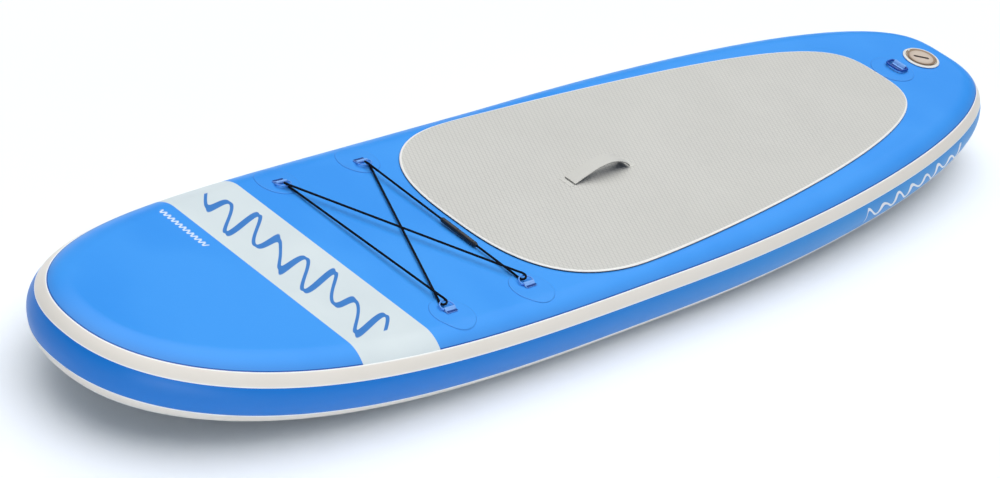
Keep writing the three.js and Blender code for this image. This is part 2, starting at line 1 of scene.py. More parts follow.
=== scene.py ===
"""Looks of an inflatable stand up paddleboard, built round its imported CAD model.

Metres, the nose towards -Y, the port side towards +X, +Z up, the belly on z = 0.
"""
from math import acos, atan, copysign, cos, pi, radians, sin

import bmesh
import bpy
import numpy as np
from mathutils import Matrix, Vector
from numpy.linalg import norm


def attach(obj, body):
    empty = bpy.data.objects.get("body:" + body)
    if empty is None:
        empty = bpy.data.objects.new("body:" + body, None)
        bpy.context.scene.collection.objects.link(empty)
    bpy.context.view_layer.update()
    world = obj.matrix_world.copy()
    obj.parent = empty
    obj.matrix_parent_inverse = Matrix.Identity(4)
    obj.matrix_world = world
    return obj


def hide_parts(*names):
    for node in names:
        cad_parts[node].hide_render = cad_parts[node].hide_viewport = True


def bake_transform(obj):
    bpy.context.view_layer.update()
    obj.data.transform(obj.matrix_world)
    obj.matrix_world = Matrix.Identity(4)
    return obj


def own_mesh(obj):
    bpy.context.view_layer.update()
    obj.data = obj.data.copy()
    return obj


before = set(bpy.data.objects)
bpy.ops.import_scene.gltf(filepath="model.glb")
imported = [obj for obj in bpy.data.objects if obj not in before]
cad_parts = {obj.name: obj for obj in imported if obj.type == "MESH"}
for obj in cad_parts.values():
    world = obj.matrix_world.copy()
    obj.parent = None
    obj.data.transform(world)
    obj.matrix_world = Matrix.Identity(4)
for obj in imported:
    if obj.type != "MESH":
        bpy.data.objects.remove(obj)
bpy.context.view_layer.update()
MM = 0.001
TURN = 2 * pi

# ---- dimensions, in millimetres
LENGTH = 3048
WIDTH = 760
THICKNESS = 160
HALF = THICKNESS / 2
WIDEST = 0.54
NOSE_POWERS = (4.26, 2.2)
TAIL_POWERS = (1.9, 2.97)
NOSE_RISE, NOSE_RISE_START, NOSE_RISE_POWER = 76, -200, 2.5
TAIL_RISE, TAIL_RISE_START, TAIL_RISE_POWER = 57, 0, 1.5
RAIL_POWER = 1.85
SHOULDER, WALL_TOP, WALL_BOTTOM, BILGE = 48, 26, -25, -48
SHOULDER_FADE, SEAM_ANGLE = 26, 3.2
SKIN = 1.4
TAPE_PROUD = 0.8

PAD_FRONT, PAD_WIDEST, PAD_BACK, PAD_HALF = -410, -90, 1187, 312
PAD_FRONT_POWERS = (2.5, 2.8)
PAD_BACK_POWERS = (1.4, 3.4)
PAD_LIFT, PAD_THICKNESS = 0.5, 5

ANCHOR_X, ANCHOR_PATCH_X, ANCHOR_FRONT_Y, ANCHOR_REAR_Y = 258, 270, -690, -440
TAIL_ANCHOR_Y, TAIL_PATCH_Y = 1281, 1250
PATCH_LIFT, PATCH_THICKNESS, PATCH_RADIUS, TAIL_PATCH_RADIUS = 0.6, 1.2, 52, 58
SLEEVE_PLAY = 0.4
GAP = 0.3
RING_BAR, RING_REACH, RING_ROD, RING_TILT = 38, 22, 1.6, 10.5
LOOP_WIDTH, LOOP_TAIL, LOOP_WALL = 32, 12, 1.3
TAIL_ROD, TAIL_LOOP_WALL = 3, 1.6
CORD_RADIUS, CORD_DROP, CORD_SPREAD, CORD_TURN = 2.5, 4.45, 5, 11
SPLICE_ALONG, SPLICE_HALF = 0.61, 55

HANDLE_FRONT, HANDLE_BACK, HANDLE_WIDTH = -19, 180, 34
HANDLE_THICKNESS, HANDLE_RISE, HANDLE_LEGS = 3, 31, 0.26
ARCH_LEAN, ARCH_ROUND = 1.25, 0.8
HANDLE_TAB_LENGTH = 16

VALVE_Y = 1376
CAP_SLOT_TURN = 43
SLOT_FLOOR = 3.6

BAND_FRONT, BAND_BACK = -996, -789
SIDE_MARK_FRONT, SIDE_MARK_BACK = 720, 1230


# ---- camera
def linked(name, data):
    thing = bpy.data.objects.new(name, data)
    bpy.context.collection.objects.link(thing)
    return thing


def photo_camera():
    azimuth, elevation, roll = (radians(a) for a in (34.48, 29.26, 17.38))
    distance = 6.537
    target = Vector((0.0201, -0.2426, 0.08))
    back = Vector((sin(azimuth) * cos(elevation), -cos(azimuth) * cos(elevation), sin(elevation)))
    right = (-back).cross(Vector((0, 0, 1))).normalized()
    up = right.cross(-back)
    across = cos(roll) * right + sin(roll) * up
    upward = -sin(roll) * right + cos(roll) * up
    data = bpy.data.cameras.new("camera")
    data.sensor_width = 36
    data.lens = 106.416
    camera = linked("camera", data)
    facing = Matrix((across, upward, back)).transposed().to_4x4()
    camera.matrix_world = Matrix.Translation(target + distance * back) @ facing
    bpy.context.scene.camera = camera


photo_camera()


# ---- node materials
class Nodes:
    """A node tree, with short calls for the nodes that the looks below share."""

    def __init__(self, tree):
        self.tree = tree

    def new(self, kind, **settings):
        made = self.tree.nodes.new(kind)
        for key, value in settings.items():
            setattr(made, key, value)
        return made

    def set(self, node, socket, value):
        if isinstance(value, bpy.types.NodeSocket):
            self.tree.links.new(value, node.inputs[socket])
        else:
            node.inputs[socket].default_value = value

    def fed(self, node, *values):
        """The node's first output, with its first sockets set."""
        for k, value in enumerate(values):
            self.set(node, k, value)
        return node.outputs[0]

    def node(self, kind, out=0, **sockets):
        made = self.new(kind)
        for key, value in sockets.items():
            self.set(made, key.replace("_", " "), value)
        return made.outputs[out]

    def math(self, operation, a, b=0.0):
        return self.fed(self.new("ShaderNodeMath", operation=operation), a, b)

    def plus(self, a, b):
        return self.math("ADD", a, b)

    def minus(self, a, b):
        return self.math("SUBTRACT", a, b)

    def times(self, a, b):
        return self.math("MULTIPLY", a, b)

    def sine(self, a):
        return self.math("SINE", a)

    def place(self):
        return self.node("ShaderNodeTexCoord", out="Object")

    def axes(self):
        made = self.new("ShaderNodeSeparateXYZ")
        self.set(made, 0, self.place())
        return made.outputs

    def stored(self, name):
        return self.new("ShaderNodeAttribute", attribute_name=name).outputs["Fac"]

    def noise(self, scale, detail, vector=None, roughness=0.5):
        return self.node("ShaderNodeTexNoise", Scale=scale, Detail=detail, Roughness=roughness,
                         Vector=vector or self.place())

    def step(self, value, low, high, bottom=0.0, top=1.0):
        """A smooth ramp of value from bottom at low to top at high."""
        made = self.new("ShaderNodeMapRange", interpolation_type="SMOOTHSTEP")
        return self.fed(made, value, low, high, bottom, top)

    def mix(self, share, a, b):
        made = self.new("ShaderNodeMix", data_type="RGBA")
        self.set(made, "Factor", share)
        self.set(made, 6, a)
        self.set(made, 7, b)
        return made.outputs[2]

    def mottle(self, scale, detail, a, b):
        """Two colours in soft clouds."""
        return self.mix(self.noise(scale, detail), a, b)


class Look(Nodes):
    """A material's nodes round its shader; sockets holds values that are the same all over."""

    def __init__(self, name, roughness, **sockets):
        self.material = bpy.data.materials.new(name)
        self.material.use_nodes = True
        super().__init__(self.material.node_tree)
        self.shader = self.tree.nodes["Principled BSDF"]
        self.set(self.shader, "Roughness", roughness)
        for key, value in sockets.items():
            self.set(self.shader, key.replace("_", " "), value)

    def bump(self, height, strength, distance):
        self.set(self.shader, "Normal", self.node(
            "ShaderNodeBump", Height=height, Strength=strength, Distance=distance))

    def color(self, value):
        self.set(self.shader, "Base Color", value)

    def roughness(self, scale, swing, base):
        """Roughness that wanders from base to base + swing."""
        wander = self.times(self.noise(scale, 3.0), swing)
        self.set(self.shader, "Roughness", self.plus(wander, base))

    def pitted(self):
        """The fine spark-eroded texture of a mould."""
        self.bump(self.noise(1400.0, 2.0), 0.25, 0.0001)


def rgb(red, green, blue):
    """An sRGB colour of 0 to 255 as the linear colour that a socket takes."""
    linear = [((c / 255 + 0.055) / 1.055) ** 2.4 if c > 10 else c / 255 / 12.92
              for c in (red, green, blue)]
    return (*linear, 1.0)


def shade(color, factor):
    return (*(min(c * factor, 1) for c in color[:3]), 1.0)


def grain(look, fine=900.0):
    """The vinyl's fine pebbled print, on a slightly uneven surface."""
    pebble = look.node("ShaderNodeTexVoronoi", Scale=fine, Vector=look.place())
    cloud = look.noise(60.0, 3.0)
    height = look.plus(look.times(pebble, 0.7), look.times(cloud, 0.6))
    look.bump(height, 0.35, 0.00012)


def ribbon(look, along, across, centre, amplitude, wavelength, phase, thick, thin):
    """1 on a pen-like wave line: along and across are distances, the stroke swells on its rises."""
    edge = 0.0008
    turn = look.plus(look.times(along, TURN / wavelength), phase)
    wave = look.plus(look.times(look.sine(turn), amplitude), centre)
    rise = look.math("COSINE", turn)
    reach = look.plus(look.times(rise, (thick - thin) / 2), (thick + thin) / 2)
    climb = look.times(look.times(rise, TURN / wavelength), amplitude)
    steepness = look.math("POWER", look.math("ABSOLUTE", climb), 2.0)
    stretch = look.math("SQRT", look.plus(steepness, 1.0))
    off = look.math("ABSOLUTE", look.minus(across, wave))
    off = look.minus(look.math("DIVIDE", off, stretch), reach)
    return look.step(off, -edge, edge, 1.0, 0.0)


def window(look, value, low, high, soft=0.0006):
    """1 where the value lies between low and high, with a soft edge."""
    rising = look.step(value, low - soft, low + soft)
    falling = look.step(value, high - soft, high + soft, 1.0, 0.0)
    return look.times(rising, falling)


def deck_look():
    look = Look("deck_pvc", 0.46, Specular_IOR_Level=0.28)
    x, y, _ = look.axes()
    cloud = look.noise(3.0, 2.0)
    blue = look.mix(look.step(cloud, 0.35, 0.65), rgb(50, 146, 234), rgb(60, 153, 238))
    # painted sheen: a greyer blue where the deck curves down to the rail and on the patches' pressed
    # edges
    blue = look.mix(look.stored("shoulder_sheen"), blue, rgb(74, 142, 218))
    # painted shadow: a thin dark blue line on the deck beside the upper tape's edge
    blue = look.mix(look.stored("seam_shadow"), blue, rgb(16, 82, 168))
    white = look.mottle(8.0, 2.0, rgb(206, 216, 218), rgb(217, 226, 226))
    front, back = BAND_FRONT * MM, BAND_BACK * MM
    stripe = window(look, y, front, back)
    middle = (front + back) / 2
    inside = window(look, x, -0.285, 0.262, 0.002)
    slanted = look.plus(x, look.times(look.minus(y, middle), 0.55))
    surge = look.sine(look.times(x, TURN / 0.21))
    amplitude = look.plus(look.times(surge, 0.018), 0.044)
    strokes = ribbon(look, slanted, y, middle, amplitude, 0.078, 0.4, 0.0088, 0.0044)
    print_blue = look.mottle(40.0, 2.0, rgb(50, 116, 188), rgb(62, 128, 198))
    banded = look.mix(look.times(strokes, inside), white, print_blue)
    color = look.mix(stripe, blue, banded)
    small = look.times(window(look, x, -0.262, -0.118, 0.002),
                      ribbon(look, x, y, front - 0.040, 0.0046, 0.012, 0.0, 0.0032, 0.0020))
    color = look.mix(look.times(small, 0.85), color, rgb(226, 236, 244))
    look.color(color)
    look.roughness(25.0, 0.10, 0.36)
    grain(look)
    return look.material


def wall_look():
    look = Look("wall_pvc", 0.46, Specular_IOR_Level=0.35)
    y = look.axes()["Y"]
    # painted sheen: the side wall paler towards the tail
    tail_sheen = look.step(y, -1.2, 1.5)
    blue = look.mix(tail_sheen, rgb(17, 120, 208), rgb(58, 154, 220))
    blue = look.mix(look.times(look.noise(6.0, 3.0), 0.25), blue, rgb(12, 108, 200))
    inside = window(look, y, SIDE_MARK_FRONT * MM, SIDE_MARK_BACK * MM, 0.002)
    height = look.stored("rail")
    slanted = look.plus(y, look.times(height, 0.6))
    surge = look.sine(look.times(y, TURN / 0.17))
    amplitude = look.plus(look.times(surge, 0.0045), 0.0130)
    marks = ribbon(look, slanted, height, 0.0, amplitude, 0.072, 0.3, 0.0056, 0.0030)
    look.color(look.mix(look.times(marks, inside), blue, rgb(232, 236, 238)))
    look.roughness(25.0, 0.10, 0.36)
    grain(look)
    return look.material


def tape_look():
    look = Look("tape_pvc", 0.45, Coat_Weight=0.1, Coat_Roughness=0.3)
    cloud = look.mottle(5.0, 3.0, rgb(229, 222, 209), rgb(234, 228, 218))
    look.color(look.mix(look.stored("edge"), cloud, rgb(250, 249, 246)))
    look.roughness(30.0, 0.12, 0.38)
    grain(look, 700.0)
    return look.material


def hull_look():
    look = Look("hull_pvc", 0.42, Coat_Weight=0.1, Coat_Roughness=0.3)
    drawn_out = look.node("ShaderNodeMapping", Vector=look.place(), Scale=(3.0, 0.35, 1.0))
    scuffs = look.noise(14.0, 6.0, drawn_out, 0.7)
    white = look.mottle(4.0, 3.0, rgb(226, 226, 220), rgb(236, 236, 231))
    look.color(look.mix(look.step(scuffs, 0.62, 0.78, 0.0, 0.35), white, rgb(200, 200, 194)))
    look.set(look.shader, "Roughness", look.step(scuffs, 0.4, 0.8, 0.36, 0.55))
    grain(look)
    return look.material


def pad_look():
    """Foam with crossed diagonal grooves in painted shade, a paler cut bevel and a painted dark
    shadow line along the foot of its edge.
    """
    look = Look("pad_foam", 0.88, Sheen_Weight=0.25, Sheen_Roughness=0.6)
    x, y, _ = look.axes()
    pitch = 0.0125

    def groove(lean):
        run = look.plus(look.times(x, lean), y)
        phase = look.math("PINGPONG", look.plus(run, 10.0), pitch / 2)
        return look.step(phase, 0.0004, 0.0013)

    grooves = look.math("MINIMUM", groove(0.6), groove(-0.6))
    flat = look.stored("top")
    cell = look.node("ShaderNodeTexVoronoi", Scale=1600.0, Vector=look.place())
    carved = look.plus(look.times(look.minus(grooves, 1.0), flat), 1.0)
    height = look.plus(carved, look.times(cell, 0.10))
    tone = look.mottle(5.0, 3.0, rgb(202, 200, 192), rgb(211, 209, 201))
    # painted shade: the grooves darker than the flat top
    tone = look.mix(look.times(look.minus(1.0, carved), 0.42), tone, rgb(164, 162, 155))
    # the bevel is pale cut foam; the dark line at the foot of the edge is painted shadow
    edge = look.mix(look.stored("edge_shadow"), rgb(242, 240, 233), rgb(22, 40, 70))
    look.color(look.mix(flat, edge, tone))
    look.bump(height, 0.55, 0.0012)
    return look.material


def webbing_look(name, light, dark):
    """A flat woven strap with ribs across its width; along and across are stored in metres."""
    look = Look(name, 0.8, Sheen_Weight=0.3, Sheen_Roughness=0.5)
    along, across = look.stored("along"), look.stored("across")
    pitch = 0.0022
    rib = look.sine(look.times(along, TURN / pitch))
    yarn = look.sine(look.times(across, TURN / (pitch * 0.8)))
    weave = look.plus(look.times(look.times(rib, yarn), 0.5), 0.5)
    fuzz = look.noise(700.0, 3.0)
    cloth = look.mix(look.times(look.plus(weave, fuzz), 0.45), dark, light)
    # painted shade: the strap's underside dark, as shade under the handle's arch
    look.color(look.mix(look.stored("under"), cloth, rgb(44, 42, 40)))
    look.bump(weave, 0.5, 0.0004)
    return look.material


def braid_look():
    look = Look("black_cord", 0.8, Specular_IOR_Level=0.15)
    along, around = look.stored("along"), look.stored("around")

    def strand(turns):
        turn = look.plus(look.times(along, TURN / 0.007), look.times(around, turns))
        return look.math("ABSOLUTE", look.sine(turn))

    strands = look.math("MAXIMUM", strand(4), strand(-4))
    look.color(look.mix(strands, rgb(3, 4, 7), rgb(13, 15, 22)))
    look.bump(strands, 0.6, 0.0006)
    return look.material


def moulded_look(name, color, roughness, mottled=0.12):
    """Moulded plastic or rubber, slightly mottled."""
    look = Look(name, roughness)
    look.color(look.mottle(35.0, 3.0, shade(color, 1 - mottled), shade(color, 1 + mottled / 2)))
    look.roughness(180.0, 0.16, roughness - 0.08)
    look.pitted()
    return look.material


def marked_look(name, roughness, tones, marks):
    """Moulded plastic in two close tones; each mark colours what a stored value covers."""
    look = Look(name, roughness)
    color = look.mottle(35.0, 3.0, *tones)
    for stored, other in marks:
        color = look.mix(look.stored(stored), color, other)
    look.color(color)
    look.pitted()
    return look.material


def steel_look():
    look = Look("spring_steel", 0.3, Metallic=1.0)
    drawn = look.noise(300.0, 2.0)
    look.color(look.mix(drawn, rgb(150, 154, 158), rgb(205, 208, 210)))
    look.set(look.shader, "Roughness", look.plus(look.times(drawn, 0.2), 0.22))
    return look.material


def core_look():
    """Drop-stitch base cloth: a fine regular net of stitches."""
    look = Look("core_fabric", 0.85)
    x, y, _ = look.axes()
    rows = look.sine(look.times(x, TURN / 0.005))
    files = look.sine(look.times(y, TURN / 0.005))
    net = look.plus(look.times(look.times(rows, files), 0.5), 0.5)
    look.color(look.mix(net, rgb(224, 223, 216), rgb(243, 243, 239)))
    look.bump(net, 0.4, 0.0004)
    return look.material


DECK = deck_look()
WALL = wall_look()
TAPE = tape_look()
HULL = hull_look()
PAD = pad_look()
CORE = core_look()
CORD = braid_look()
STEEL = steel_look()
BLUE_WEBBING = webbing_look("blue_webbing", rgb(150, 196, 250), rgb(84, 150, 232))
BEIGE_WEBBING = webbing_look("beige_webbing", rgb(226, 224, 216), rgb(186, 184, 175))
BLUE_PLASTIC = moulded_look("blue_plastic", rgb(96, 158, 238), 0.4)
DARK_BLUE_PLASTIC = moulded_look("dark_blue_plastic", rgb(14, 74, 168), 0.4)
# the bar tacks' dark thread is painted shadow for the gap at the webbing's ends
SHADOW_DARK_THREAD = moulded_look("shadow_dark_thread", rgb(14, 66, 150), 0.8)
WHITE_PLASTIC = moulded_look("white_plastic", rgb(236, 235, 228), 0.4, 0.05)
BROWN_PLASTIC = moulded_look("brown_plastic", rgb(176, 154, 128), 0.45)
# rim: painted shade, a darker outer band on the cap
# slot: painted shadow on the grip slot's floor
CAP_PLASTIC = marked_look("cap_plastic", 0.45, (rgb(196, 179, 161), rgb(209, 193, 176)),
                          (("rim", rgb(146, 122, 98)), ("slot", rgb(58, 40, 32))))
# groove: painted shadow in the flange's inner groove round the cap
FLANGE_PLASTIC = marked_look("flange_plastic", 0.42, (rgb(228, 227, 220), rgb(238, 237, 230)),
                             (("groove", rgb(150, 128, 104)),))
GREY_RUBBER = moulded_look("grey_rubber", rgb(96, 98, 100), 0.7)
BLACK_PLASTIC = moulded_look("black_plastic", rgb(30, 31, 34), 0.45)


# ---- meshes
LATHE_CREASE = 32


def make(name, vertices, faces, material, stored=()):
    """A smooth mesh from points in millimetres; stored holds (name, one value per point)."""
    mesh = bpy.data.meshes.new(name)
    mesh.from_pydata((np.asarray(vertices, float) * MM).tolist(), [], faces)
    mesh.validate()
    mesh.materials.append(material)
    piece = linked(name, mesh)
    for attribute, values in stored:
        store(piece, attribute, values)
    mesh.shade_smooth()
    return piece


def unit(rows):
    return rows / norm(rows, axis=1)[:, None]


def store(piece, name, values):
    """Keep one value per point under a name that the piece's look reads."""
    values = np.asarray(values, np.float32).ravel()
    piece.data.attributes.new(name, "FLOAT", "POINT").data.foreach_set("value", values)


def outwards(piece):
    """Merge a piece's doubled points and turn its faces outwards."""
    work = bmesh.new()
    work.from_mesh(piece.data)
    bmesh.ops.remove_doubles(work, verts=work.verts, dist=1e-7)
    bmesh.ops.recalc_face_normals(work, faces=work.faces)
    work.to_mesh(piece.data)
    work.free()
    return piece


def creased(piece, degrees):
    piece.data.set_sharp_from_angle(angle=radians(degrees))
    return piece


def grid_faces(rows, columns, rows_close=False):
    """Quads between rows of points; each row closes on itself."""
    faces = []
    for i in range(rows if rows_close else rows - 1):
        here, after = i * columns, (i + 1) % rows * columns
        for j in range(columns):
            k = (j + 1) % columns
            faces.append((here + j, here + k, after + k, after + j))
    return faces


def lofted(name, sections, material, closed_path=False, caps=True, stored=(), degrees=40):
    """Skin a list of closed sections, each with the same number of points."""
    rows, columns = len(sections), len(sections[0])
    vertices = [p for s in sections for p in s]
    faces = grid_faces(rows, columns, closed_path)
    if caps and not closed_path:
        faces.append(tuple(range(columns)))
        faces.append(tuple((rows - 1) * columns + k for k in range(columns)))
    return closed(name, vertices, faces, material, degrees, stored)


def closed(name, vertices, faces, material, degrees, stored=()):
    """A closed piece: its faces point out, and edges above the angle stay sharp."""
    return creased(outwards(make(name, vertices, faces, material, stored)), degrees)


def spun(profile, segments):
    """Points of rings round +Z, one ring for each (radius, z)."""
    angles = [TURN * k / segments for k in range(segments)]
    return [(r * cos(a), r * sin(a), z) for r, z in profile for a in angles]


def lathed(name, profile, material, site, segments=72):
    """A body of revolution from (radius, z) points that close on themselves or on the axis."""
    on_axis = profile[0][0] == 0 and profile[-1][0] == 0
    faces = grid_faces(len(profile), segments, not on_axis)
    return closed(name, placed(spun(profile, segments), site), faces, material, LATHE_CREASE)


def placed(points, site):
    """Points of a tilted or turned site, given as a 4x4 matrix in millimetres."""
    local = np.c_[np.asarray(points, float), np.ones(len(points))]
    return (local @ np.array(site).T)[:, :3]


def tube(name, centres, radius, material, sides, closed_path=False, site=None):
    """A round rod or cord along a line of points, with stored along and around."""
    line = np.asarray(centres, float)
    ahead = np.roll(line, -1, 0) - np.roll(line, 1, 0)
    if not closed_path:
        ahead[0], ahead[-1] = line[1] - line[0], line[-1] - line[-2]
    ahead = unit(ahead)
    side = np.cross(ahead[0], (0, 0, 1.0))
    if norm(side) < 0.1:
        side = np.cross(ahead[0], (1.0, 0, 0))
    run = run_along(line)
    turn = np.arange(sides) * TURN / sides
    sections, along, around = [], [], []
    for k in range(len(line)):
        side = side - ahead[k] * np.dot(side, ahead[k])
        side /= norm(side)
        other = np.cross(ahead[k], side)
        ring = line[k] + radius * (np.cos(turn)[:, None] * side + np.sin(turn)[:, None] * other)
        sections.append(placed(ring, site) if site is not None else ring)
        along.extend([run[k] * MM] * sides)
        around.extend(turn)
    stored = (("along", along), ("around", around))
    return lofted(name, sections, material, closed_path, stored=stored, degrees=60)


def run_along(line):
    """How far each point of a line is from its start, along the line."""
    return np.r_[0, np.cumsum(norm(np.diff(line, axis=0), axis=1))]


def evened(line, count, endpoint=True):
    """The line with its points evenly spaced."""
    run = run_along(line)
    even = np.linspace(0, run[-1], count, endpoint=endpoint)
    return np.stack([np.interp(even, run, line[:, k]) for k in range(3)], 1)


def between(s, low, high, a, b):
    """The point at s on the straight line from a at low to b at high."""
    return (high - s) / (high - low) * a + (s - low) / (high - low) * b


def smooth_line(points, count):
    """A centripetal spline through the points, evenly spaced."""
    p = [np.asarray(q, float) for q in points]
    p = [2 * p[0] - p[1], *p, 2 * p[-1] - p[-2]]
    dense = []
    for k in range(1, len(p) - 2):
        t = [0.0]
        for a, b in zip(p[k - 1:k + 2], p[k:k + 3]):
            t.append(t[-1] + max(norm(b - a), 1e-9) ** 0.5)
        for s in np.linspace(t[1], t[2], 40, endpoint=False):
            a = [between(s, t[i], t[i + 1], p[k - 1 + i], p[k + i]) for i in range(3)]
            b = [between(s, t[i], t[i + 2], a[i], a[i + 1]) for i in range(2)]
            dense.append(between(s, t[1], t[2], *b))
    return evened(np.array([*dense, p[-2]]), count)


def arc(cx, cz, radius, start, end, steps=6):
    return [(cx + radius * cos(radians(a)), cz + radius * sin(radians(a)))
            for a in np.linspace(start, end, steps)]


def around(site, count):
    """The site turned about its upright, count times in one full turn."""
    return [site @ Matrix.Rotation(TURN * k / count, 4, "Z") for k in range(count)]


def joined(name, pieces):
    """One piece made of all the pieces' meshes."""
    work = bmesh.new()
    for piece in pieces:
        work.from_mesh(piece.data)
    work.to_mesh(pieces[0].data)
    work.free()
    pieces[0].name = name
    for piece in pieces[1:]:
        bpy.data.objects.remove(piece)
    return pieces[0]


def boxed(name, xs, ys, zs, site, material=WHITE_PLASTIC, round_ends=False):
    """A block between three pairs of limits, with small chamfers or with round ends along X."""
    (x0, x1), (y0, y1), (z0, z1) = xs, ys, zs
    if round_ends:
        half = (y1 - y0) / 2
        edge = [(end + sign * half * cos(a), sign * half * sin(a))
                for end, sign in ((x1, 1), (x0, -1))
                for a in np.linspace(-pi / 2, pi / 2, 13)]
        rings = [[(x, y, z) for x, y in edge] for z in (z0, z1)]
    else:
        c = min(0.25, (x1 - x0) / 4, (y1 - y0) / 4, (z1 - z0) / 4)
        corner = [(x1 - c, y0), (x1, y0 + c), (x1, y1 - c), (x1 - c, y1),
                  (x0 + c, y1), (x0, y1 - c), (x0, y0 + c), (x0 + c, y0)]
        mx, my = (x0 + x1) / 2, (y0 + y1) / 2
        narrow, short = 1 - 2 * c / (x1 - x0), 1 - 2 * c / (y1 - y0)
        shrink = [(mx + (x - mx) * narrow, my + (y - my) * short) for x, y in corner]
        rings = [[(x, y, z0) for x, y in shrink], [(x, y, z0 + c) for x, y in corner],
                 [(x, y, z1 - c) for x, y in corner], [(x, y, z1) for x, y in shrink]]
    return lofted(name, [placed(r, site) for r in rings], material, degrees=50)


def difference(piece, cutter):
    """Cut the cutter's shape out of the piece, and drop the cutter."""
    cut = piece.modifiers.new("cut", "BOOLEAN")
    cut.object = cutter
    cut.operation = "DIFFERENCE"
    cut.solver = "EXACT"
    graph = bpy.context.evaluated_depsgraph_get()
    mesh = bpy.data.meshes.new_from_object(piece.evaluated_get(graph))
    piece.modifiers.clear()
    piece.data = mesh
    bpy.data.objects.remove(cutter)
    return piece


def from_site(piece, site):
    """The piece's vertices in the site's frame, and how far each is from its axis."""
    local = placed([p.co / MM for p in piece.data.vertices], site.inverted())
    return local, np.hypot(local[:, 0], local[:, 1])


def settle(piece, body, slot, *nodes):
    """Give a piece its body and hide the CAD nodes it stands for, if any; the slot is not used."""
    if nodes:
        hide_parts(*nodes)
    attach(piece, body)


# ---- the board's form
def bowed(y, half, front, widest, back):
    """Half a width at y; front and back are each (end, power along, power across)."""
    end, along, across = front if y < widest else back
    away = min(max((y - widest) / (end - widest), 0), 1)
    return half * (1 - away ** along) ** (1 / across)


def half_width(y):
    widest = (WIDEST - 0.5) * LENGTH
    return bowed(y, WIDTH / 2, (-LENGTH / 2, *NOSE_POWERS), widest, (LENGTH / 2, *TAIL_POWERS))


def rocker(y):
    nose = max((NOSE_RISE_START - y) / (NOSE_RISE_START + LENGTH / 2), 0)
    tail = max((y - TAIL_RISE_START) / (LENGTH / 2 - TAIL_RISE_START), 0)
    return NOSE_RISE * nose ** NOSE_RISE_POWER + TAIL_RISE * tail ** TAIL_RISE_POWER


def slope(y):
    return (rocker(y + 1) - rocker(y - 1)) / 2


def outline(u):
    """The port outline from nose (0) to tail (1), with its outward normal."""
    def at(v):
        y = -LENGTH / 2 * cos(pi * v)
        return np.array((half_width(y), y))

    if u <= 0 or u >= 1:
        return at(u), np.array((0.0, -1.0 if u <= 0 else 1.0))
    along = at(u + 1e-4) - at(u - 1e-4)
    normal = np.array((along[1], -along[0]))
    return at(u), normal / norm(normal)


def rail_point(u, side, degrees, offset):
    point, normal = outline(u)
    angle = radians(degrees)
    across = 0.0 if abs(degrees) == 90 else abs(cos(angle)) ** (2 / RAIL_POWER)
    up = copysign(abs(sin(angle)) ** (2 / RAIL_POWER), degrees)
    inset = HALF - (HALF + offset) * across
    x, y = point - normal * inset
    return (side * x, y, HALF + (HALF + offset) * up + rocker(y))


def deck_height(x, y):
    u = acos(-y / (LENGTH / 2)) / pi
    inset = (half_width(y) - abs(x)) * outline(u)[1][0]
    across = 1 - min(max(inset / HALF, 0), 1)
    return rocker(y) + HALF + HALF * (1 - across ** RAIL_POWER) ** (1 / RAIL_POWER)


def on_deck(x, y, turn=0.0, lift=0.0):
    """A site on the deck, tilted with the rocker and turned about its own upright."""
    tilt = Matrix.Rotation(atan(slope(y)), 4, "X")
    return (Matrix.Translation((x, y, THICKNESS + rocker(y))) @ tilt
            @ Matrix.Translation((0, 0, lift)) @ Matrix.Rotation(turn, 4, "Z"))


STATIONS = [k / 200 for k in range(201)]


def crossing(name, angles, material, flat_steps=16):
    """A skin from one rail to the other; angles run from the rail to the flat."""
    sections, shoulder_sheen, seam_shadow = [], [], []
    # ramp is the share of the painted shoulder sheen, strongest next to the rail
    ramp = [max(0.0, 1 - (abs(a) - abs(angles[0])) / SHOULDER_FADE) ** 2 for a in angles]
    # line marks the painted seam shadow beside the tape's edge
    line = [1.0 if abs(a) < abs(angles[0]) + SEAM_ANGLE else 0.0 for a in angles]

    def run(u, offset):
        port = [rail_point(u, 1, a, offset) for a in angles]
        starboard = [rail_point(u, -1, a, offset) for a in reversed(angles)]
        a, b = np.array(port[-1]), np.array(starboard[0])
        flat = [tuple(a + (b - a) * k / flat_steps) for k in range(1, flat_steps)]
        return port + flat + starboard

    for u in STATIONS:
        sections.append(run(u, 0) + run(u, -SKIN)[::-1])
        for values, rail in ((shoulder_sheen, ramp), (seam_shadow, line)):
            tone = rail + [0.0] * (flat_steps - 1) + rail[::-1]
            values.extend(tone + tone[::-1])
    return lofted(name, sections, material, caps=False,
                  stored=(("shoulder_sheen", shoulder_sheen), ("seam_shadow", seam_shadow)), degrees=50)


def band(name, angles, heights, material, stored_name, values):
    """A strip round the whole rail, with a height and a stored value for each angle."""
    def section(u, side):
        over = [rail_point(u, side, a, h) for a, h in zip(angles, heights)]
        under = [rail_point(u, side, a, -SKIN) for a in (angles[-1], angles[0])]
        return over + under

    path = [(u, 1) for u in STATIONS] + [(u, -1) for u in reversed(STATIONS[1:-1])]
    sections = [section(u, side) for u, side in path]
    stored = ((stored_name, [*values, values[-1], values[0]] * len(path)),)
    return lofted(name, sections, material, closed_path=True, stored=stored, degrees=50)


def tape(name, low, high):
    """Rail tape with a thin pressed edge on both sides."""
    steps = [0, 0.15, 0.5, 1.2, 2.4]
    middle = np.linspace(low + 2.4, high - 2.4, 8)[1:-1]
    angles = [low + a for a in steps] + list(middle) + [high - a for a in reversed(steps)]
    rise, pale = [-0.3, 0.35, 0.7], [1, 1, 1, 0.8, 0.1]
    heights = rise + [TAPE_PROUD] * 10 + rise[::-1]
    tone = pale + [0] * 6 + pale[::-1]
    return band(name, angles, heights, TAPE, "edge", tone)


